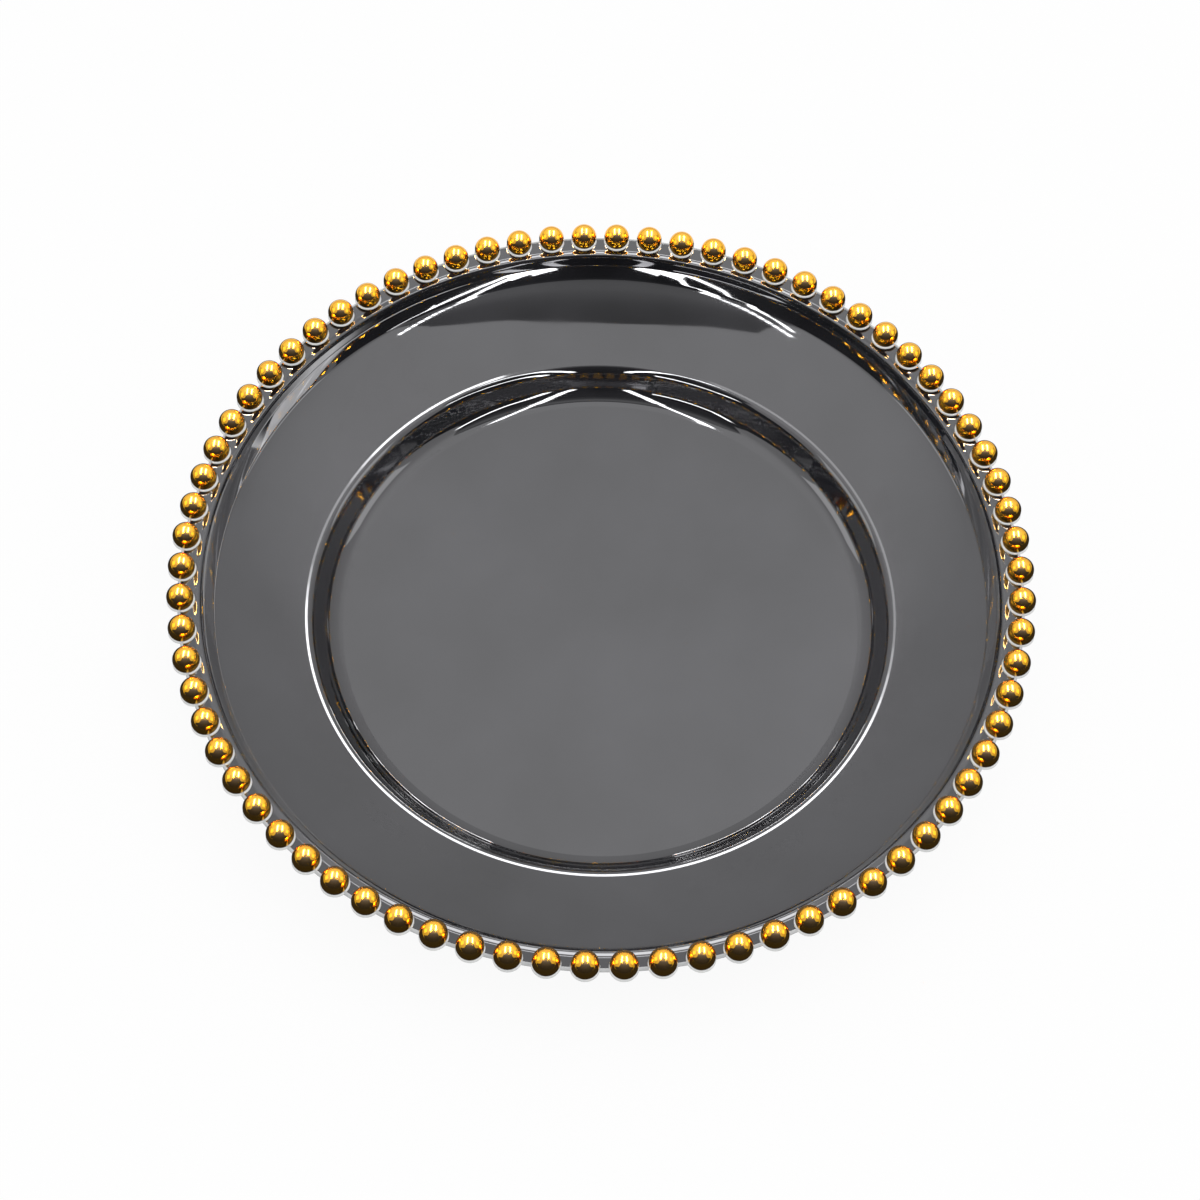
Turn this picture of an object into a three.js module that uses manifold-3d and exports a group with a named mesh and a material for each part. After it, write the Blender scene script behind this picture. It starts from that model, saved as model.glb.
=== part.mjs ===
// Round serving platter: a smoke-grey glass dish with a clear rail of gold beads bonded on its lip.
// Millimetres, +Z up. The origin is on the platter's axis, in the plane that its foot stands on.

import * as THREE from 'three';
import { mergeVertices } from 'three/addons/utils/BufferGeometryUtils.js';
import Module from 'manifold-3d';

const { degToRad } = THREE.MathUtils;

// Driving dimensions of the dish

const WALL = 3.6; // glass thickness of the floor, the step and the rim
const FOOT_HEIGHT = 2;
const FOOT_WIDTH = 6;
const FOOT_INSET = 3; // foot's outer edge inside the edge of the flat well floor
const FOOT_DRAFT = 0.6; // how far each side of the foot leans in on its way down
const WELL_RADIUS = 100.5; // flat part of the well floor
const COVE_RADIUS = 9; // hollow curve between the floor and the step
const STEP_HEIGHT = 12.6; // well floor up to where the rim starts
const STEP_ANGLE = degToRad(62); // the step's lean, above the horizontal
const SHOULDER_UNDER_RADIUS = 0.8; // the shoulder's bend, measured on the underside
const RIM_RISE = 23.7; // start of the rim up to the inner edge of the rail's top face
const RIM_START_ANGLE = degToRad(18); // the rim's slope beside the shoulder
const RIM_END_ANGLE = degToRad(66); // the rim's slope at the lip

// Driving dimensions of the bead rail

const RAIL_THICKNESS = 3; // at its inner edge
const RAIL_EDGE_HEIGHT = 2.1; // at its outer edge
const RAIL_WIDTH = 7.6; // top face, from its inner edge to its outer edge
const RAIL_TILT = degToRad(14); // the top face rises outwards
const RAIL_OVERHANG = 1.4; // outer edge beyond the circle through the beads' centres
const CUP_LIP_DROP = 0.9; // cup's lip below the bead's centre
const CUP_LIP_WIDTH = 0.4;
const CUP_BELLY_DROP = 3.8; // where the cup turns in towards its foot, below the bead's centre
const CUP_BELLY_RADIUS = 5;
const CUP_FOOT_RADIUS = 3;
const CUP_FLOOR = 0.9; // glass under the bead

// Driving dimensions of the beads

const BEAD_COUNT = 74;
const BEAD_DIAMETER = 10.2;
const BEAD_RING_DIAMETER = 319; // circle through the beads' centres
const BEAD_LIFT = 1.5; // bead's centre above the rail's outer edge
const FIRST_BEAD_ANGLE = degToRad(2); // from +X towards +Y
const TIE_WIDTH = 1.2; // bar that joins two beads
const TIE_HEIGHT = 1;
const TIE_SINK = 0.6; // tie's top below the rail's outer edge

// Clearances

const BOND_GAP = 0.3; // between the dish's lip and the rail
const SEAT_CLEARANCE = 0.3; // round a bead and its tie, and between the cups and the lip

// Facets

const DISH_SIDES = 64;
const BEAD_SIDES = 8;
const BEAD_STEPS = 4;
const COVE_STEPS = 3;
const SHOULDER_STEPS = 2;
const RIM_STEPS = 6;

// Heights and radii that follow from the driving dimensions

const floorTop = FOOT_HEIGHT + WALL;
const rimStartHeight = floorTop + STEP_HEIGHT;
const railTop = rimStartHeight + RIM_RISE;
const railBottom = railTop - RAIL_THICKNESS;
const railEdgeTop = railTop + RAIL_WIDTH * Math.tan(RAIL_TILT);
const lipHeight = railBottom - BOND_GAP;
const beadHeight = railEdgeTop + BEAD_LIFT;

const beadRingRadius = BEAD_RING_DIAMETER / 2;
const railOuterRadius = beadRingRadius + RAIL_OVERHANG;
const railInnerRadius = railOuterRadius - RAIL_WIDTH;
const railInnerFoot = railInnerRadius - RAIL_THICKNESS / Math.tan(RIM_END_ANGLE);
const lipInnerRadius = railInnerFoot - BOND_GAP / Math.tan(RIM_END_ANGLE);

const beadRadius = BEAD_DIAMETER / 2;
const seatRadius = beadRadius + SEAT_CLEARANCE;
const beadPitch = (2 * Math.PI) / BEAD_COUNT;

// The cup tapers from its belly to its foot. The drops are measured from the bead's centre. The dish's
// lip stays clear of the cups, also where they reach below it.

const cupFootDrop = seatRadius + CUP_FLOOR;
const cupLipRadius = Math.sqrt(seatRadius ** 2 - CUP_LIP_DROP ** 2) + CUP_LIP_WIDTH;
const cupTaper = (CUP_BELLY_RADIUS - CUP_FOOT_RADIUS) / (cupFootDrop - CUP_BELLY_DROP);
const cupBelowLip = Math.max(0, lipHeight - (beadHeight - cupFootDrop));
const cupReachAtLip = CUP_FOOT_RADIUS + cupTaper * cupBelowLip;
const lipOuterRadius = beadRingRadius - cupReachAtLip - SEAT_CLEARANCE;

const wasm = await Module();
wasm.setup();

// A closed three.js geometry as a solid that can be joined and cut.
function solidOf(geometry) {
  const bare = geometry.clone();
  bare.deleteAttribute('normal');
  bare.deleteAttribute('uv');
  const merged = mergeVertices(bare);
  const corners = Array.from(merged.index.array);
  const kept = [];
  for (let i = 0; i < corners.length; i += 3) {
    const [a, b, c] = corners.slice(i, i + 3);
    if (a !== b && b !== c && c !== a) kept.push(a, b, c);
  }
  const mesh = new wasm.Mesh({
    numProp: 3,
    vertProperties: merged.attributes.position.array,
    triVerts: new Uint32Array(kept),
  });
  return new wasm.Manifold(mesh);
}

// The joined or cut solid as a three.js geometry.
function geometryOf(solid) {
  const mesh = solid.getMesh();
  const geometry = new THREE.BufferGeometry();
  geometry.setAttribute('position', new THREE.BufferAttribute(mesh.vertProperties, 3));
  geometry.setIndex(new THREE.BufferAttribute(mesh.triVerts, 1));
  geometry.computeVertexNormals();
  return geometry;
}

// A profile of radius and height, turned round the Z axis.
function turned(profile, sides) {
  return new THREE.LatheGeometry(profile, sides).rotateX(Math.PI / 2);
}

// Points on an arc, from one direction to another.
function arc(centre, radius, from, to, steps) {
  return Array.from({ length: steps + 1 }, (_, i) => {
    const angle = from + ((to - from) * i) / steps;
    return new THREE.Vector2(Math.cos(angle), Math.sin(angle)).multiplyScalar(radius).add(centre);
  });
}

// The dish: both faces of its wall from the same centres, so that the glass is equally thick all over

function dishGeometry() {
  const down = -Math.PI / 2;
  const coveCentre = new THREE.Vector2(WELL_RADIUS, floorTop + COVE_RADIUS);
  const shoulderRadius = SHOULDER_UNDER_RADIUS + WALL;
  const coveHeight = COVE_RADIUS * (1 - Math.cos(STEP_ANGLE));
  const shoulderHeight = shoulderRadius * (Math.cos(RIM_START_ANGLE) - Math.cos(STEP_ANGLE));
  const stepRise = STEP_HEIGHT - coveHeight - shoulderHeight;

  const coveTop = arc(coveCentre, COVE_RADIUS, down, down + STEP_ANGLE, COVE_STEPS);
  const stepEnd = coveTop.at(-1).clone();
  stepEnd.add(new THREE.Vector2(stepRise / Math.tan(STEP_ANGLE), stepRise));
  const towardsShoulder = new THREE.Vector2(Math.sin(STEP_ANGLE), -Math.cos(STEP_ANGLE));
  const shoulderCentre = towardsShoulder.multiplyScalar(shoulderRadius).add(stepEnd);
  const shoulderFrom = STEP_ANGLE - down;
  const shoulderTo = RIM_START_ANGLE - down;
  const shoulderTop = arc(shoulderCentre, shoulderRadius, shoulderFrom, shoulderTo, SHOULDER_STEPS);

  // The rim runs out gently from the shoulder and turns up to the lip. It bends where the two slopes meet.
  const rimStart = shoulderTop.at(-1);
  const lip = new THREE.Vector2(lipInnerRadius, lipHeight);
  const gentle = Math.tan(RIM_START_ANGLE);
  const steep = Math.tan(RIM_END_ANGLE);
  const bendRun = (steep * (lip.x - rimStart.x) - (lip.y - rimStart.y)) / (steep - gentle);
  const bend = new THREE.Vector2(bendRun, bendRun * gentle).add(rimStart);
  const rim = new THREE.CubicBezierCurve(rimStart, bend, bend, lip);
  const rimTop = rim.getPoints(RIM_STEPS);
  const rimUnder = rimTop.map((point, i) => {
    const along = rim.getTangent(i / RIM_STEPS);
    return new THREE.Vector2(along.y, -along.x).multiplyScalar(WALL).add(point);
  });

  const footOuter = WELL_RADIUS - FOOT_INSET;
  const footInner = footOuter - FOOT_WIDTH;
  const under = [
    new THREE.Vector2(0, FOOT_HEIGHT),
    new THREE.Vector2(footInner, FOOT_HEIGHT),
    new THREE.Vector2(footInner + FOOT_DRAFT, 0),
    new THREE.Vector2(footOuter - FOOT_DRAFT, 0),
    new THREE.Vector2(footOuter, FOOT_HEIGHT),
    ...arc(coveCentre, COVE_RADIUS + WALL, down, down + STEP_ANGLE, COVE_STEPS),
    ...arc(shoulderCentre, SHOULDER_UNDER_RADIUS, shoulderFrom, shoulderTo, SHOULDER_STEPS),
    ...rimUnder.slice(1),
    new THREE.Vector2(lipOuterRadius, lipHeight),
  ];
  const top = [new THREE.Vector2(0, floorTop), ...coveTop, ...shoulderTop, ...rimTop.slice(1)];
  return turned([...under, ...top.reverse()], DISH_SIDES);
}

// Beads stand in pairs. A pair's own frame has its origin midway between its beads and +X pointing
// away from the platter's axis. With an odd count, the last bead stands alone.

const pairs = [];
for (let bead = 0; bead < BEAD_COUNT; bead += 2) {
  const together = Math.min(2, BEAD_COUNT - bead);
  const halfAngle = (beadPitch * (together - 1)) / 2;
  const spread = beadRingRadius * Math.sin(halfAngle);
  pairs.push({
    angle: FIRST_BEAD_ANGLE + beadPitch * bead + halfAngle,
    radius: beadRingRadius * Math.cos(halfAngle),
    spread,
    places: together === 2 ? [-spread, spread] : [0],
  });
}

function matrixOf(pair) {
  const turn = new THREE.Matrix4().makeRotationZ(pair.angle);
  return turn.multiply(new THREE.Matrix4().makeTranslation(pair.radius, 0, beadHeight));
}

function ballGeometry(radius) {
  const upright = Math.PI / 2;
  return turned(arc(new THREE.Vector2(), radius, -upright, upright, BEAD_STEPS), BEAD_SIDES);
}

// The balls of a pair joined by a bar between their centres.
function pairSolid(pair, radius, bar) {
  const balls = pair.places.map((y) => solidOf(ballGeometry(radius).translate(0, y, 0)));
  const joined = balls.reduce((all, ball) => all.add(ball));
  if (pair.spread === 0) return joined;
  const tie = new THREE.BoxGeometry(bar.width, 2 * pair.spread, bar.top - bar.bottom);
  return joined.add(solidOf(tie.translate(0, 0, (bar.top + bar.bottom) / 2)));
}

const tieTop = -BEAD_LIFT - TIE_SINK;
const tieBar = { width: TIE_WIDTH, top: tieTop, bottom: tieTop - TIE_HEIGHT };
const tieSlot = {
  width: TIE_WIDTH + 2 * SEAT_CLEARANCE,
  top: 0, // the slot is open above, so that a pair drops into its seats
  bottom: tieBar.bottom - SEAT_CLEARANCE,
};

// The rail: a ring that is flat underneath where it lies on the dish's lip, with a cup for every bead,
// cut out for the beads and their ties

function railGeometry() {
  const ring = turned(
    [
      new THREE.Vector2(railInnerFoot, railBottom),
      new THREE.Vector2(lipOuterRadius, railBottom),
      new THREE.Vector2(railOuterRadius, railEdgeTop - RAIL_EDGE_HEIGHT),
      new THREE.Vector2(railOuterRadius, railEdgeTop),
      new THREE.Vector2(railInnerRadius, railTop),
      new THREE.Vector2(railInnerFoot, railBottom),
    ],
    BEAD_COUNT,
  ).rotateZ(FIRST_BEAD_ANGLE + (beadPitch + Math.PI) / 2);
  const cup = turned(
    [
      new THREE.Vector2(0, -cupFootDrop),
      new THREE.Vector2(CUP_FOOT_RADIUS, -cupFootDrop),
      new THREE.Vector2(CUP_BELLY_RADIUS, -CUP_BELLY_DROP),
      new THREE.Vector2(cupLipRadius, -CUP_LIP_DROP),
      new THREE.Vector2(0, -CUP_LIP_DROP),
    ],
    BEAD_SIDES,
  );
  let rail = solidOf(ring);
  for (const pair of pairs) {
    for (const y of pair.places) {
      rail = rail.add(solidOf(cup.clone().translate(0, y, 0).applyMatrix4(matrixOf(pair))));
    }
  }
  for (const pair of pairs) {
    const seat = geometryOf(pairSolid(pair, seatRadius, tieSlot));
    rail = rail.subtract(solidOf(seat.applyMatrix4(matrixOf(pair))));
  }
  return geometryOf(rail);
}

// Assembly

const smokeGlass = new THREE.MeshStandardMaterial({ color: 0x5f6063, roughness: 0.08, metalness: 0 });
const clearGlass = new THREE.MeshStandardMaterial({ color: 0xdfe3e4, roughness: 0.05, metalness: 0 });
const goldMirror = new THREE.MeshStandardMaterial({ color: 0xd9a441, roughness: 0.12, metalness: 1 });

function node(name, geometry, material) {
  const mesh = new THREE.Mesh(geometry, material.clone());
  mesh.name = name;
  return mesh;
}

const platter = new THREE.Group();
platter.name = 'round_serving_platter';
platter.add(node('glass_dish', dishGeometry(), smokeGlass));
platter.add(node('clear_bead_rail', railGeometry(), clearGlass));

pairs.forEach((pair, i) => {
  const name = `gold_bead_pair_${String(i + 1).padStart(2, '0')}`;
  const mesh = node(name, geometryOf(pairSolid(pair, beadRadius, tieBar)), goldMirror);
  mesh.applyMatrix4(matrixOf(pair));
  platter.add(mesh);
});

export default platter;
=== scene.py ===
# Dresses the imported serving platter: smoke-grey glass dish, rail with clear cups, gold mirror beads.
# The platter's lengths are in millimetres and MM turns them into Blender's metres. The stage is in metres.

import math

import bmesh
import bpy
from mathutils import Matrix, Quaternion, Vector


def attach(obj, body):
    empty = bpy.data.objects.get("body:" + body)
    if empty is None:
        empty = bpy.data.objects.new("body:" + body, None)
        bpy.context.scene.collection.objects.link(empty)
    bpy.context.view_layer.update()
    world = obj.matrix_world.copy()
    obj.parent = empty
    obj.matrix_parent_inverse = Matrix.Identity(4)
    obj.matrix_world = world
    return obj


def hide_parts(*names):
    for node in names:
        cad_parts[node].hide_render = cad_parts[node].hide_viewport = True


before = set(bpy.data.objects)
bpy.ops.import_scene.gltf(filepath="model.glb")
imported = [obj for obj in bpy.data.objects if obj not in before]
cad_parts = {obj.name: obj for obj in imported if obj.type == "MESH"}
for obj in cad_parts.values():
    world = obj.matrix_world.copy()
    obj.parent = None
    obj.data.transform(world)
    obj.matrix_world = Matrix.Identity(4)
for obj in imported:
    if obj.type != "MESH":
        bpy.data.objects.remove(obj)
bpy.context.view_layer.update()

MM = 0.001
WHITE = (1.0, 1.0, 1.0, 1.0)
scene = bpy.context.scene

# Sizes of the dish, the rail and the beads, with angles in degrees

WALL = 3.6
FOOT_HEIGHT = 2.0
FOOT_INNER, FOOT_OUTER, FOOT_DRAFT = 91.5, 97.5, 0.6
FOOT_FILLET, FOOT_ROUND = 1.0, 0.5
FLOOR_TOP = 5.6
WELL_RADIUS = 100.5
COVE_RADIUS, COVE_START, STEP_ANGLE = 9.0, 14.0, 62.0
CORNER_CENTRE, CORNER_ROUND = (115.37, 14.0), 0.8
LIP_OUTER, LIP_ROUND = 156.0, 1.0
FLANGE_TILT = 17.5
COAT_EDGE, COAT_DEPTH = 159.7, 2.0
RAIL_OUTER, RAIL_EDGE_HEIGHT = 160.9, 2.1
BAND_GAP = 0.02
BEAD_COUNT = 74
BEAD_RADIUS = 5.1
BEAD_RING = 159.5
BEAD_HEIGHT = 45.29
FIRST_BEAD = 2.0
SEAT_DROP, SEAT_RADIUS = 0.12, 0.9
CUP_RADIUS, CUP_FOOT, CUP_CUT = 6.0, 1.0, 0.1
CUP_LIP = ((5.15, -2.45), (4.8, -2.39))
CUP_GAP = 0.03
FINE_STEP, COARSE_STEP, EDGE_STEP = 0.1, 0.8, 0.06
DISH_SEGMENTS, CUP_SEGMENTS, BEAD_SEGMENTS = 288, 32, 40
DISH_CREASE, FLANGE_CREASE, BAND_CREASE = 12.5, 35, 40


# Mesh helpers

def arc(centre, radius, start, end, steps):
    """Points of radius and height on an arc, from one angle to another, in degrees."""
    points = []
    for i in range(steps + 1):
        a = math.radians(start + (end - start) * i / steps)
        points.append((centre[0] + radius * math.cos(a), centre[1] + radius * math.sin(a)))
    return points


def climb(start, slopes, step):
    """A curve from its slopes in degrees at given radii."""
    points = [start]
    for (r0, a0), (r1, a1) in zip(slopes, slopes[1:]):
        count = max(2, round((r1 - r0) / step))
        run = (r1 - r0) / count
        for i in range(count):
            a = math.radians(a0 + (a1 - a0) * (i + 0.5) / count)
            points.append((points[-1][0] + run, points[-1][1] + run * math.tan(a)))
    return points


def under(points, depth):
    """The same curve on the glass's other face."""
    moved = []
    for (r0, z0), (r1, z1) in zip(points, points[1:]):
        length = math.hypot(r1 - r0, z1 - z0)
        out, down = depth * (z1 - z0) / length, depth * (r1 - r0) / length
        moved.append(((r0 + r1) / 2 + out, (z0 + z1) / 2 - down))
    return moved


def lathe(bm, profile, segments, place=Matrix.Identity(4), ring=False):
    """Turns points of radius and height round a vertical axis. A ring's profile closes on itself."""
    rows = []
    for radius, height in profile:
        count = segments if radius > 1e-6 else 1
        row = []
        for i in range(count):
            a = 2 * math.pi * i / segments
            point = Vector((radius * math.cos(a), radius * math.sin(a), height))
            row.append(bm.verts.new((place @ point) * MM))
        rows.append(row)
    pairs = list(zip(rows, rows[1:]))
    if ring:
        pairs.append((rows[-1], rows[0]))
    for low, high in pairs:
        for i in range(segments):
            j = (i + 1) % segments
            corners = [low[i % len(low)], low[j % len(low)], high[j % len(high)], high[i % len(high)]]
            face = bm.faces.new(list(dict.fromkeys(corners)))
            face.smooth = True


def piece(name, bm, material):
    """A finished object from a bmesh, with outward normals."""
    bmesh.ops.recalc_face_normals(bm, faces=bm.faces)
    mesh = bpy.data.meshes.new(name)
    bm.to_mesh(mesh)
    bm.free()
    obj = bpy.data.objects.new(name, mesh)
    scene.collection.objects.link(obj)
    mesh.materials.append(material)
    return obj


# Material helpers. Most of a noise lies between its low and its high

NOISE_LOW, NOISE_HIGH = 0.3, 0.7


def new_material(name):
    """A node material with its Principled shader and object coordinates in metres."""
    material = bpy.data.materials.new(name)
    material.use_nodes = True
    nodes = material.node_tree.nodes
    coords = nodes.new("ShaderNodeTexCoord")
    return material, nodes["Principled BSDF"], coords.outputs["Object"]


def noise(material, vector, scale, detail=3.0, rough=0.5):
    """A noise texture's factor."""
    node = material.node_tree.nodes.new("ShaderNodeTexNoise")
    node.inputs["Scale"].default_value = scale
    node.inputs["Detail"].default_value = detail
    node.inputs["Roughness"].default_value = rough
    material.node_tree.links.new(vector, node.inputs["Vector"])
    return node.outputs["Fac"]


def ramp(material, factor, stops):
    """A colour ramp over a factor. Stops are position and colour."""
    node = material.node_tree.nodes.new("ShaderNodeValToRGB")
    elements = node.color_ramp.elements
    while len(elements) < len(stops):
        elements.new(0.5)
    for element, (position, colour) in zip(elements, stops):
        element.position = position
        element.color = (*colour, 1.0)
    material.node_tree.links.new(factor, node.inputs["Fac"])
    return node.outputs["Color"]


def greys(stops):
    """Ramp stops of position and grey value."""
    return [(position, (value, value, value)) for position, value in stops]


def mottle(material, shader, factor, low, high):
    """A shader's colour, mottled between two colours."""
    colour = ramp(material, factor, [(NOISE_LOW, low), (NOISE_HIGH, high)])
    material.node_tree.links.new(colour, shader.inputs["Base Color"])


def roughen(material, shader, factor, low, high):
    """A shader's roughness, varied between two values."""
    node = material.node_tree.nodes.new("ShaderNodeMapRange")
    node.inputs["From Min"].default_value = NOISE_LOW
    node.inputs["From Max"].default_value = NOISE_HIGH
    node.inputs["To Min"].default_value = low
    node.inputs["To Max"].default_value = high
    material.node_tree.links.new(factor, node.inputs["Value"])
    material.node_tree.links.new(node.outputs["Result"], shader.inputs["Roughness"])


def bump(material, shader, factor, distance):
    """A shallow relief on a shader, its depth in metres."""
    node = material.node_tree.nodes.new("ShaderNodeBump")
    node.inputs["Strength"].default_value = 1.0
    node.inputs["Distance"].default_value = distance
    material.node_tree.links.new(factor, node.inputs["Height"])
    material.node_tree.links.new(node.outputs["Normal"], shader.inputs["Normal"])


# Smoke-grey glass: nearly black inside, with a mirror-like sheen and faint clouds

smoke, shader, where = new_material("smoke_glass")
mottle(smoke, shader, noise(smoke, where, 16.0, 4.0, 0.55), (0.003, 0.003, 0.004), (0.024, 0.024, 0.028))
roughen(smoke, shader, noise(smoke, where, 30.0, 4.0), 0.02, 0.05)
shader.inputs["Specular Tint"].default_value = (0.97, 0.97, 1.0, 1.0)
shader.inputs["IOR"].default_value = 2.2
bump(smoke, shader, noise(smoke, where, 45.0, 1.0), 0.00002)

# Clear glass of the bead cups. Its near-white colour is painted light: it stands in for the bright light
# seen through the clear glass

clear_painted_light, shader, where = new_material("clear_glass")
mottle(clear_painted_light, shader, noise(clear_painted_light, where, 220.0), (0.82, 0.83, 0.83), (0.92, 0.92, 0.91))
roughen(clear_painted_light, shader, noise(clear_painted_light, where, 400.0), 0.03, 0.09)
shader.inputs["IOR"].default_value = 1.5
shader.inputs["Transmission Weight"].default_value = 0.15
bump(clear_painted_light, shader, noise(clear_painted_light, where, 260.0, 1.0), 0.00003)

# Bare glass of the rail's outer edge, a little greyer. Its pale grey colour is painted light: it stands in
# for the light seen through the clear edge

bare_painted_light, shader, where = new_material("edge_glass_painted_light")
mottle(bare_painted_light, shader, noise(bare_painted_light, where, 120.0), (0.6, 0.61, 0.62), (0.74, 0.74, 0.74))
roughen(bare_painted_light, shader, noise(bare_painted_light, where, 300.0), 0.05, 0.12)
shader.inputs["IOR"].default_value = 1.5
shader.inputs["Transmission Weight"].default_value = 0.15
bump(bare_painted_light, shader, noise(bare_painted_light, where, 260.0, 1.0), 0.00003)

# Gold mirror of the beads under a thin satin lacquer

gold, shader, where = new_material("gold_mirror")
mottle(gold, shader, noise(gold, where, 300.0), (0.93, 0.44, 0.008), (0.99, 0.51, 0.016))
roughen(gold, shader, noise(gold, where, 900.0, 4.0), 0.04, 0.08)
shader.inputs["Metallic"].default_value = 1.0
shader.inputs["Coat Weight"].default_value = 0.2
shader.inputs["Coat Roughness"].default_value = 0.5
shader.inputs["Coat IOR"].default_value = 1.5
bump(gold, shader, noise(gold, where, 500.0, 2.0), 0.00001)

# Curves of the dish's upper face: cove, shoulder, rim with its turned-up edge, and the flange's inner edge

cove_centre = (WELL_RADIUS, FLOOR_TOP + COVE_RADIUS)
cove = arc(cove_centre, COVE_RADIUS, -90 + COVE_START, -90 + STEP_ANGLE, 20)
shoulder = climb(
    cove[-1],
    [(cove[-1][0], STEP_ANGLE), (111.0, STEP_ANGLE), (112.0, 52), (113.0, 34), (113.7, 18), (114.1, 12),
     (114.5, 9.5), (114.8, 9.5), (115.1, 12)],
    FINE_STEP)
rim = climb(shoulder[-1], [(115.1, 12), (115.7, 16), (118.0, 18)], FINE_STEP)
rim += climb(
    rim[-1],
    [(118.0, 18), (125.0, 20), (136.0, 22.5), (143.6, 25), (147.8, 28)],
    COARSE_STEP)[1:]
rim += climb(
    rim[-1],
    [(147.8, 28), (148.3, 48), (148.7, 57.5), (151.1, 60.5), (151.4, 74), (151.95, 79)],
    FINE_STEP)[1:]
edge = climb(
    rim[-1],
    [(151.95, 79), (152.3, 67), (152.65, 46), (153.0, 22), (153.4, 4), (153.8, -2), (154.5, -4), (154.9, 4),
     (155.6, FLANGE_TILT)],
    EDGE_STEP)

# The dish in two turned pieces that meet at the shoulder: the well with its foot, and the rim

LIP_HEIGHT = rim[-1][1]
below = under(rim, WALL)
well = [
    (0.0, FOOT_HEIGHT), (40.0, FOOT_HEIGHT), (80.0, FOOT_HEIGHT),
    *arc((FOOT_INNER - FOOT_FILLET, FOOT_HEIGHT - FOOT_FILLET), FOOT_FILLET, 90, 20, 8),
    *arc((FOOT_INNER + FOOT_DRAFT + FOOT_ROUND, FOOT_ROUND), FOOT_ROUND, 200, 270, 8),
    *arc((FOOT_OUTER - FOOT_DRAFT - FOOT_ROUND, FOOT_ROUND), FOOT_ROUND, -90, -20, 8),
    *arc((FOOT_OUTER + FOOT_FILLET, FOOT_HEIGHT - FOOT_FILLET), FOOT_FILLET, 160, 90, 8),
    *arc(cove_centre, COVE_RADIUS + WALL, -90, -90 + STEP_ANGLE, 20),
    *arc(CORNER_CENTRE, CORNER_ROUND, 152, 108, 6),
    below[0],
    *shoulder[::-1][:-1],
    *cove[::-1],
    (101.6, FLOOR_TOP), (95.0, FLOOR_TOP), (60.0, FLOOR_TOP), (30.0, FLOOR_TOP), (0.0, FLOOR_TOP),
]
flare = [
    below[0],
    *below[30::3],
    *arc((LIP_OUTER - LIP_ROUND, LIP_HEIGHT - LIP_ROUND), LIP_ROUND, -30, 90, 14),
    *rim[::-1],
]
dish = {}
smoked = bpy.data.collections.new("smoked")
for name, profile, closed in (("dish_well", well, False), ("dish_rim", flare, True)):
    bm = bmesh.new()
    lathe(bm, profile, DISH_SEGMENTS, ring=closed)
    part = piece(name, bm, smoke)
    part.data.set_sharp_from_angle(angle=math.radians(DISH_CREASE))
    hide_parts("glass_dish")
    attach(part, "root")
    dish[name] = bpy.data.collections.new(name)
    dish[name].objects.link(part)
    smoked.objects.link(part)

# The rail's smoke-coated flange, with a rounded inner edge

rise = math.tan(math.radians(FLANGE_TILT))
coat_top = edge[-1][1] + (COAT_EDGE - edge[-1][0]) * rise
edge_top = edge[-1][1] + (RAIL_OUTER - edge[-1][0]) * rise
flange = [
    *edge,
    (COAT_EDGE, coat_top),
    (COAT_EDGE, coat_top - COAT_DEPTH),
    (LIP_OUTER, LIP_HEIGHT),
]
bm = bmesh.new()
lathe(bm, flange, DISH_SEGMENTS, ring=True)
flange_piece = piece("rail_flange", bm, smoke)
flange_piece.data.set_sharp_from_angle(angle=math.radians(FLANGE_CREASE))
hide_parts("clear_bead_rail")
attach(flange_piece, "root")
edged = bpy.data.collections.new("edged")
edged.objects.link(flange_piece)

# The rail's clear outer edge, a half-round band against the flange

half = RAIL_EDGE_HEIGHT / 2
band = [
    (COAT_EDGE + BAND_GAP, coat_top - COAT_DEPTH),
    *arc((RAIL_OUTER - half, edge_top - half), half, -80, 90, 16),
    (COAT_EDGE + BAND_GAP, coat_top),
]
bm = bmesh.new()
lathe(bm, band, DISH_SEGMENTS, ring=True)
band_piece = piece("rail_edge", bm, bare_painted_light)
band_piece.data.set_sharp_from_angle(angle=math.radians(BAND_CREASE))
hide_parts("clear_bead_rail")
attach(band_piece, "root")


# The clear cups round the lower half of every bead, which other pieces don't mirror

def bead_place(k):
    """The k-th bead's place: origin at its centre, X pointing away from the platter's axis."""
    turn = Matrix.Rotation(math.radians(FIRST_BEAD) + 2 * math.pi * k / BEAD_COUNT, 4, "Z")
    return turn @ Matrix.Translation((BEAD_RING, 0.0, BEAD_HEIGHT))


cup = [
    (0.0, -CUP_RADIUS + CUP_CUT),
    (CUP_FOOT, -CUP_RADIUS + CUP_CUT),
    *arc((0.0, 0.0), CUP_RADIUS, -78, -27, 12),
    *CUP_LIP,
    *arc((0.0, 0.0), BEAD_RADIUS + CUP_GAP, -29, -78, 10),
    (0.0, -BEAD_RADIUS - CUP_GAP),
]
bm = bmesh.new()
for k in range(BEAD_COUNT):
    lathe(bm, cup, CUP_SEGMENTS, bead_place(k))
cups = piece("bead_cups", bm, clear_painted_light)
cups.visible_glossy = False
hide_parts("clear_bead_rail")
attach(cups, "root")

# The gold beads: one ball with a small flat seat, placed 74 times. They throw no gold light on the cups

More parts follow.
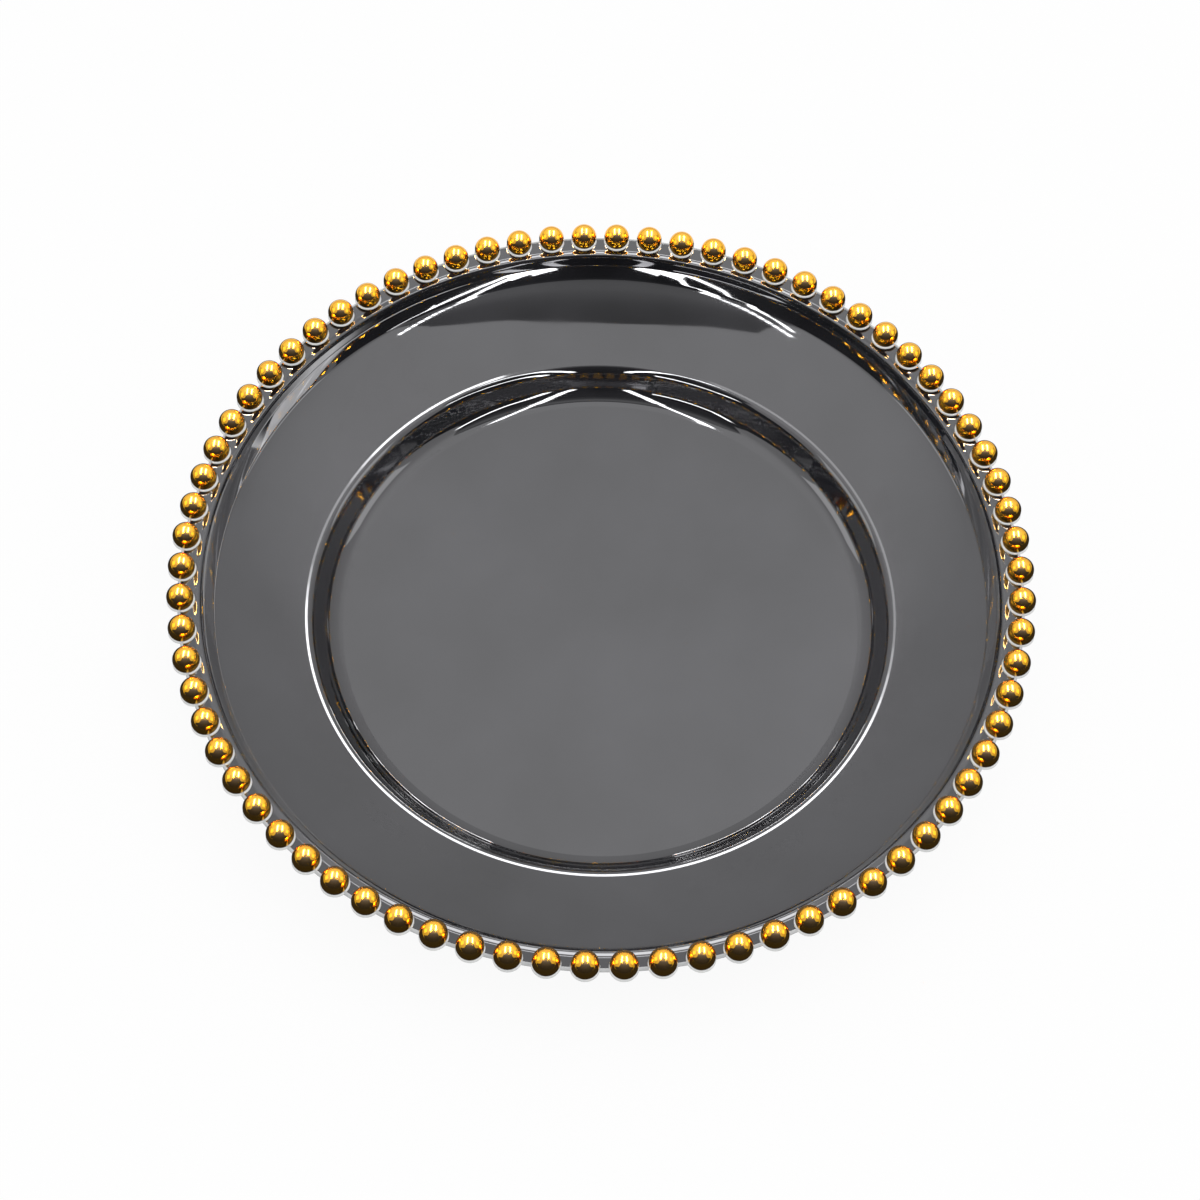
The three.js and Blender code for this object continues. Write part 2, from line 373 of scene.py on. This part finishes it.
ball = [
    (0.0, -BEAD_RADIUS + SEAT_DROP),
    (SEAT_RADIUS, -BEAD_RADIUS + SEAT_DROP),
    *arc((0.0, 0.0), BEAD_RADIUS, -76, 82, 26),
    (0.0, BEAD_RADIUS),
]
bm = bmesh.new()
lathe(bm, ball, BEAD_SEGMENTS)
first = piece("gold_bead_01", bm, gold)
beads = bpy.data.collections.new("beads")
for k in range(BEAD_COUNT):
    bead = first
    if k:
        bead = bpy.data.objects.new(f"gold_bead_{k + 1:02d}", first.data)
        scene.collection.objects.link(bead)
    beads.objects.link(bead)
    bead.visible_diffuse = False
    bead.location = bead_place(k).translation * MM
    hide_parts(f"gold_bead_pair_{k // 2 + 1:02d}")
    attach(bead, "root")

# Camera at the photograph's angle

AIM = Vector((-0.455, -14.157, 45.3)) * MM
ELEVATION = math.radians(60.22)
ROLL = math.radians(2.0)
DISTANCE = 867.2 * MM
toward = Vector((0.0, -math.cos(ELEVATION), math.sin(ELEVATION)))
camera = bpy.data.objects.new("camera", bpy.data.cameras.new("camera"))
scene.collection.objects.link(camera)
camera.data.sensor_width = 36.0
camera.data.lens = 69.0
camera.data.clip_start = 0.01
camera.location = AIM + toward * DISTANCE
camera.rotation_mode = "QUATERNION"
camera.rotation_quaternion = (-toward).to_track_quat("-Z", "Y") @ Quaternion((0.0, 0.0, 1.0), ROLL)
scene.camera = camera

# Floor: white paper that keeps a soft shadow, and that metal and glass see as white too

FLOOR_HALF, FLOOR_LEVEL = 6.0, -0.0002
FLOOR_WHITE = 0.92


def square(half, height):
    """Corners of a level square round the axis, in metres."""
    return [(x * half, y * half, height) for x, y in ((-1, -1), (1, -1), (1, 1), (-1, 1))]


floor_mesh = bpy.data.meshes.new("floor")
floor_mesh.from_pydata(square(FLOOR_HALF, FLOOR_LEVEL), [], [(0, 1, 2, 3)])
floor = bpy.data.objects.new("floor", floor_mesh)
scene.collection.objects.link(floor)
paper, shader, where = new_material("floor_paper")
mottle(paper, shader, noise(paper, where, 3.0), (0.945, 0.945, 0.945), (0.955, 0.955, 0.955))
shader.inputs["Roughness"].default_value = 0.9
shader.inputs["Specular IOR Level"].default_value = 0.0
nodes = paper.node_tree.nodes
links = paper.node_tree.links
path = nodes.new("ShaderNodeLightPath")
seen = path.outputs["Is Camera Ray"]
for ray in ("Is Glossy Ray", "Is Transmission Ray"):
    either = nodes.new("ShaderNodeMath")
    either.operation = "MAXIMUM"
    links.new(seen, either.inputs[0])
    links.new(path.outputs[ray], either.inputs[1])
    seen = either.outputs["Value"]
share = nodes.new("ShaderNodeMath")
share.operation = "MULTIPLY"
links.new(seen, share.inputs[0])
share.inputs[1].default_value = FLOOR_WHITE
white = nodes.new("ShaderNodeEmission")
white.inputs["Color"].default_value = WHITE
white.inputs["Strength"].default_value = 1.0
blend = nodes.new("ShaderNodeMixShader")
links.new(share.outputs["Value"], blend.inputs["Fac"])
links.new(shader.outputs["BSDF"], blend.inputs[1])
links.new(white.outputs["Emission"], blend.inputs[2])
links.new(blend.outputs["Shader"], nodes["Material Output"].inputs["Surface"])
floor_mesh.materials.append(paper)

# Studio light: a grey surround that brightens overhead, white where the camera sees it, and one soft lamp

world = bpy.data.worlds.new("studio")
scene.world = world
world.use_nodes = True
nodes = world.node_tree.nodes
links = world.node_tree.links
direct = nodes.new("ShaderNodeLightPath")
coords = nodes.new("ShaderNodeTexCoord")
split = nodes.new("ShaderNodeSeparateXYZ")
links.new(coords.outputs["Generated"], split.inputs["Vector"])
surround_stops = [
    (0.0, 0.5), (0.14, 0.55), (0.3, 0.62), (0.5, 0.69),
    (0.72, 0.75), (0.8, 0.9), (0.88, 1.02), (1.0, 1.04)]
surround = ramp(world, split.outputs["Z"], greys(surround_stops))
backdrop = nodes.new("ShaderNodeMix")
backdrop.data_type = "RGBA"
factor_in, surround_in, white_in = backdrop.inputs[0], backdrop.inputs[6], backdrop.inputs[7]
white_in.default_value = WHITE
links.new(direct.outputs["Is Camera Ray"], factor_in)
links.new(surround, surround_in)
links.new(backdrop.outputs[2], nodes["Background"].inputs["Color"])
nodes["Background"].inputs["Strength"].default_value = 1.0

lamp = bpy.data.lights.new("softbox", "AREA")
lamp.shape = "DISK"
lamp.size = 1.4
lamp.energy = 5.0
softbox = bpy.data.objects.new("softbox", lamp)
scene.collection.objects.link(softbox)
softbox.location = (0.3, -0.2, 1.6)
softbox.rotation_euler = (-softbox.location).to_track_quat("-Z", "Y").to_euler()
softbox.visible_glossy = False
softbox.visible_camera = False

# Cards that only reflections show. Angles round them are above the front horizon, 180 being the back one

CARD_CENTRE = 0.045
CARD_RADIUS, FRONT_RADIUS = 1.5, 1.6
FRONT_ROWS, FRONT_LOW, FRONT_MARGIN = 24, -3, 0.1
RIBBON_STEPS, DASH = 12, 4
LIGHT_DISTANCE, LIGHT_STEP = 12.0, 5
TABLE_HALF, TABLE_LEVEL, APRON_LEVEL = 1.0, 0.0008, 0.0006
STREAK_GLOW, STEP_GLOW, TABLE_GLOW, APRON_GLOW = 14.0, 0.4, 0.7, 0.03
FILL_GLOW, WASH_GLOW, LENS_GLOW = 0.32, 2.4, 2.2
BACK_GLOW, BAR_GLOW, SIDE_GLOW, EDGE_GLOW = 0.4, 110.0, 1.7, 4.0


def glowing(name, bm, strength, receivers=None):
    """A card that shows in reflections only, and where receivers are given, only in theirs."""
    mesh = bpy.data.meshes.new(name)
    bm.to_mesh(mesh)
    bm.free()
    card = bpy.data.objects.new(name, mesh)
    scene.collection.objects.link(card)
    material = bpy.data.materials.new(name)
    material.use_nodes = True
    nodes = material.node_tree.nodes
    links = material.node_tree.links
    nodes.remove(nodes["Principled BSDF"])
    glow = nodes.new("ShaderNodeEmission")
    glow.inputs["Color"].default_value = WHITE
    glow.inputs["Strength"].default_value = strength
    links.new(glow.outputs["Emission"], nodes["Material Output"].inputs["Surface"])
    if receivers:
        through = nodes.new("ShaderNodeBsdfTransparent")
        both = nodes.new("ShaderNodeAddShader")
        links.new(glow.outputs["Emission"], both.inputs[0])
        links.new(through.outputs["BSDF"], both.inputs[1])
        links.new(both.outputs["Shader"], nodes["Material Output"].inputs["Surface"])
        card.light_linking.receiver_collection = receivers
    mesh.materials.append(material)
    card.visible_camera = False
    card.visible_diffuse = False
    card.visible_shadow = False
    card.visible_transmission = False
    return card


def flat_card(name, corners, strength, receivers=None):
    """A card of one flat face."""
    bm = bmesh.new()
    bm.faces.new([bm.verts.new(corner) for corner in corners])
    return glowing(name, bm, strength, receivers)


def strip(bm, rows):
    """Faces between neighbouring rows of points."""
    rows = [[bm.verts.new(point) for point in row] for row in rows]
    for low, high in zip(rows, rows[1:]):
        for i in range(len(low) - 1):
            bm.faces.new((low[i], low[i + 1], high[i + 1], high[i]))


def sweep(first, last, step):
    """Angles in radians from one to another, in even steps of about the given degrees."""
    count = max(2, round((last - first) / step))
    return [math.radians(first + (last - first) * i / count) for i in range(count + 1)]


def ring_rows(first, last, step, points):
    """Rows of points round the platter's axis, from their radii and heights in millimetres."""
    rows = []
    for a in sweep(first, last, step):
        rows.append([(r * MM * math.cos(a), r * MM * math.sin(a), z * MM) for r, z in points])
    return rows


def around(theta, x, radius):
    """A point on a cylinder that lies along X, from its angle and its sideways share of the radius."""
    t = math.radians(theta)
    return (x * radius, -math.cos(t) * radius, CARD_CENTRE + math.sin(t) * radius)


def shade(card, axis, low, high, stops):
    """Shades a card's glow along an axis. Stops are a coordinate in metres and a share of the glow."""
    material = card.data.materials[0]
    nodes = material.node_tree.nodes
    links = material.node_tree.links
    coords = nodes.new("ShaderNodeTexCoord")
    split = nodes.new("ShaderNodeSeparateXYZ")
    links.new(coords.outputs["Object"], split.inputs["Vector"])
    scaled = nodes.new("ShaderNodeMapRange")
    scaled.inputs["From Min"].default_value = low
    scaled.inputs["From Max"].default_value = high
    links.new(split.outputs[axis], scaled.inputs["Value"])
    shares = greys([((place - low) / (high - low), value) for place, value in stops])
    links.new(ramp(material, scaled.outputs["Result"], shares), nodes["Emission"].inputs["Color"])


def light_front_only(card, strength):
    """Lets a card glow from its front face only."""
    tree = card.data.materials[0].node_tree
    facing = tree.nodes.new("ShaderNodeNewGeometry")
    level = tree.nodes.new("ShaderNodeMapRange")
    level.inputs["To Min"].default_value = strength
    level.inputs["To Max"].default_value = 0.0
    tree.links.new(facing.outputs["Backfacing"], level.inputs["Value"])
    tree.links.new(level.outputs["Result"], tree.nodes["Emission"].inputs["Strength"])


def ribbon(name, points, width, receivers, strength=STREAK_GLOW, dashed=False):
    """A glowing band through points of sideways share and angle; dashed, every fourth bit is left out."""
    path = []
    for (x0, t0), (x1, t1) in zip(points, points[1:]):
        for i in range(RIBBON_STEPS):
            theta = t0 + (t1 - t0) * i / RIBBON_STEPS
            x = x0 + (x1 - x0) * i / RIBBON_STEPS
            path.append(Vector(around(theta, x, CARD_RADIUS)))
    path.append(Vector(around(points[-1][1], points[-1][0], CARD_RADIUS)))
    bm = bmesh.new()
    for i, (a, b) in enumerate(zip(path, path[1:])):
        if dashed and i % DASH == DASH - 1:
            continue
        across = (b - a).cross(a).normalized() * width / 2
        bm.faces.new([bm.verts.new(c) for c in (a - across, a + across, b + across, b - across)])
    glowing(name, bm, strength, receivers)


def lit_ring(name, crest, slopes, spans, strength, receivers):
    """A far band of light that a crest of the platter mirrors to the camera, over spans round the axis."""
    bm = bmesh.new()
    for first, last in spans:
        rows = []
        for a in sweep(first, last, LIGHT_STEP):
            out = Vector((math.cos(a), math.sin(a), 0.0))
            point = (out * crest[0] + Vector((0.0, 0.0, crest[1]))) * MM
            view = (camera.location - point).normalized()
            row = []
            for slope in slopes:
                s = math.radians(slope)
                normal = Vector((0.0, 0.0, math.cos(s))) - out * math.sin(s)
                row.append(point + (2 * normal.dot(view) * normal - view) * LIGHT_DISTANCE)
            rows.append(row)
        strip(bm, rows)
    glowing(name, bm, strength, receivers)


# Dim front: the dark side of the studio, which the far edge of the rim and the beads' lower halves mirror

front_tops = [
    (-2.6, 30), (-1.5, 36), (-0.9, 42), (-0.66, 55), (-0.5, 75), (-0.36, 83), (-0.25, 88.3), (0.0, 88.5),
    (0.32, 88.5), (0.5, 83), (0.62, 75), (0.8, 55), (1.0, 44), (1.5, 36), (2.6, 30)]
front_shades = [
    (0, 0.02), (28, 0.03), (42, 0.05), (60, 0.06), (70, 0.16), (77, 0.42), (81, 0.45), (84.2, 0.3),
    (86.5, 0.2), (88, 0.19)]
columns = []
for x, top in front_tops:
    angles = [FRONT_LOW + (top - FRONT_LOW) * i / FRONT_ROWS for i in range(FRONT_ROWS + 1)]
    columns.append([around(angle, x, FRONT_RADIUS) for angle in angles])
bm = bmesh.new()
strip(bm, columns)
heights = [(around(angle, 0.0, FRONT_RADIUS)[2], value) for angle, value in front_shades]
shade(glowing("front", bm, 1.0), "Z", 0.0, FRONT_RADIUS + FRONT_MARGIN, heights)

# Streaks on the rim: name, width and course

rim_streaks = [
    ("left_dots", 0.036, [(0.33, 6.5), (0.405, 8.5), (0.507, 10.8), (0.616, 13.5)]),
    ("left_bend", 0.07, [(0.616, 13.5), (0.61, 30), (0.482, 57), (0.3, 80)]),
    ("left_tail", 0.024, [(0.29, 80), (0.31, 81.5), (0.345, 83.9), (0.377, 86.4), (0.408, 88.9)]),
    ("left_outer", 0.03, [(0.38, 6.0), (0.454, 7.3), (0.533, 9.1), (0.709, 11.4), (0.911, 13.2)]),
    ("left_far", 0.09, [(0.911, 13.2), (1.132, 19.7), (1.283, 31.1)]),
    ("right_dots", 0.04, [(-0.19, 7.5), (-0.242, 9.0), (-0.293, 10.7), (-0.381, 22.4)]),
    ("right_bend", 0.07, [(-0.381, 22.4), (-0.36, 47), (-0.2, 78)]),
    ("right_tail", 0.024, [(-0.2, 78), (-0.222, 79.9), (-0.266, 82.6), (-0.302, 85.5), (-0.33, 88)]),
    ("right_outer", 0.036, [(-0.26, 6.4), (-0.361, 8.3), (-0.51, 11.4), (-0.641, 25.7)]),
    ("right_turn", 0.07, [(-0.641, 25.7), (-0.52, 50), (-0.31, 80)]),
    ("right_end", 0.022, [(-0.31, 80), (-0.329, 82.5), (-0.351, 85.6)]),
    ("left_low", 0.16, [(0.25, 5.5), (0.36, 7.5)]),
    ("left_head", 0.09, [(0.36, 7.5), (0.46, 9.4)]),
    ("right_low", 0.16, [(-0.11, 5.5), (-0.21, 7.8)]),
    ("right_head", 0.09, [(-0.21, 7.8), (-0.3, 9.6)]),
]
for name, width, course in rim_streaks:
    ribbon(name, course, width, dish["dish_rim"], dashed=name.endswith("_tail"))

# Streaks on the step and the cove of the well: name, width and course

well_streaks = [
    ("well_left", 0.07, [(0.2, 15), (0.25, 28), (0.27, 49), (0.25, 72)]),
    ("well_left_tail", 0.035, [(0.25, 72), (0.225, 82), (0.19, 92), (0.15, 101)]),
    ("well_left_outer", 0.09, [(0.36, 15), (0.467, 34), (0.588, 40), (0.683, 47), (0.814, 60)]),
    ("well_right", 0.07, [(-0.1, 16), (-0.125, 25), (-0.175, 48), (-0.18, 69)]),
    ("well_right_tail", 0.035, [(-0.18, 69), (-0.156, 86), (-0.14, 94), (-0.117, 102)]),
    ("well_right_outer", 0.09, [(-0.25, 19), (-0.467, 21), (-0.68, 25), (-0.768, 37)]),
    ("well_back_left", 0.08, [(0.165, 171), (0.7, 171)]),
    ("well_back_right", 0.08, [(-0.13, 171), (-0.7, 171)]),
]
for name, width, course in well_streaks:
    ribbon(name, course, width, dish["dish_well"])

# A broken grey ring above the shoulder that the far step mirrors

step_spans = [(180, 196), (199, 222), (226, 236), (239, 249), (251, 259.5),
              (287, 296), (297.5, 309), (316, 326), (329, 350), (353, 360)]
step_band = [(121, 20.6), (121, 26.0)]
bm = bmesh.new()
for start, end in step_spans:
    strip(bm, ring_rows(start, end, 2, step_band))
glowing("step_light", bm, STEP_GLOW, dish["dish_well"])

# A pale table top for the dish's underside

flat_card("table", square(TABLE_HALF, TABLE_LEVEL), TABLE_GLOW, smoked)

# Light inside the dish for the turned-up edge: a faint fill, and a pale wash at the far left

fill_band = [(60, 31), (147, 31)]
bm = bmesh.new()
strip(bm, ring_rows(150, 390, 3, fill_band))
light_front_only(glowing("inside_light", bm, 1.0, dish["dish_rim"]), FILL_GLOW)
wash_band = [(100, 31), (147, 31)]
wash_shades = [(-0.13, 0.1), (-0.118, 0.35), (-0.108, 0.9), (-0.1, 1.0), (-0.09, 0.15), (-0.084, 0.0)]
bm = bmesh.new()
strip(bm, ring_rows(126, 150, 3, wash_band))
wash = glowing("inside_wash", bm, 1.0, dish["dish_rim"])
light_front_only(wash, WASH_GLOW)
shade(wash, "X", wash_shades[0][0], wash_shades[-1][0], wash_shades)
lens = [(58, 31), (66, 36.5), (78, 38.5), (90, 36), (97, 31), (90, 27), (78, 25.5), (66, 27)]
corners = [(-30 * MM, y * MM, z * MM) for y, z in lens]
light_front_only(flat_card("across_wash", corners, 1.0, dish["dish_rim"]), LENS_GLOW)

# Light for the beads alone: a bright back and two bars. The soft sheet at either side is for all pieces

ribbon("bead_back", [(-1.6, 140), (1.6, 140)], 1.9, beads, strength=BACK_GLOW)
BAR_HALF = Vector((0.17, 0.0, 0.0))
for side, x in (("right", 1.0), ("left", -1.0)):
    near_end = Vector((0.72 * x, -0.6, 2.2))
    far_end = Vector((0.6 * x, 1.7, 1.65))
    bar = [near_end - BAR_HALF, near_end + BAR_HALF, far_end + BAR_HALF, far_end - BAR_HALF]
    flat_card(f"bead_light_{side}", bar, BAR_GLOW, beads)
    sheet = [(1.2 * x, y, z) for y, z in ((-0.25, 0.4), (0.35, 0.4), (0.35, 1.08), (-0.25, 1.08))]
    flat_card(f"side_{side}", sheet, SIDE_GLOW)

# The bright line along the shoulder, which fades at the left and the right, and one along the flange's edge

shoulder_crest, shoulder_slopes = (114.6, 18.4), (9.0, 11.4)
shoulder_levels = [
    (112, 145, 9.0), (145, 149, 5.0), (149, 153, 2.6), (153, 174, 1.4), (174, 178, 2.6), (178, 182, 5.0),
    (182, 336, 9.0), (336, 341, 6.0), (341, 346, 3.6), (346, 352, 2.0), (352, 428, 1.1)]
for number, (start, end, strength) in enumerate(shoulder_levels, 1):
    name = f"shoulder_light_{number}"
    lit_ring(name, shoulder_crest, shoulder_slopes, [(start, end)], strength, dish["dish_well"])
edge_crest, edge_slopes = (154.1, 41.2), (-5.0, -1.0)
lit_ring("edge_light", edge_crest, edge_slopes, [(60, 120), (240, 300)], EDGE_GLOW, edged)

# A dark apron on the floor in front, so that the beads' lower halves mirror a dark room

apron = [(x, y, APRON_LEVEL) for x, y in ((-1.5, -1.6), (1.5, -1.6), (1.5, 0.2), (-1.5, 0.2))]
flat_card("apron", apron, APRON_GLOW)

scene.view_settings.view_transform = "Standard"
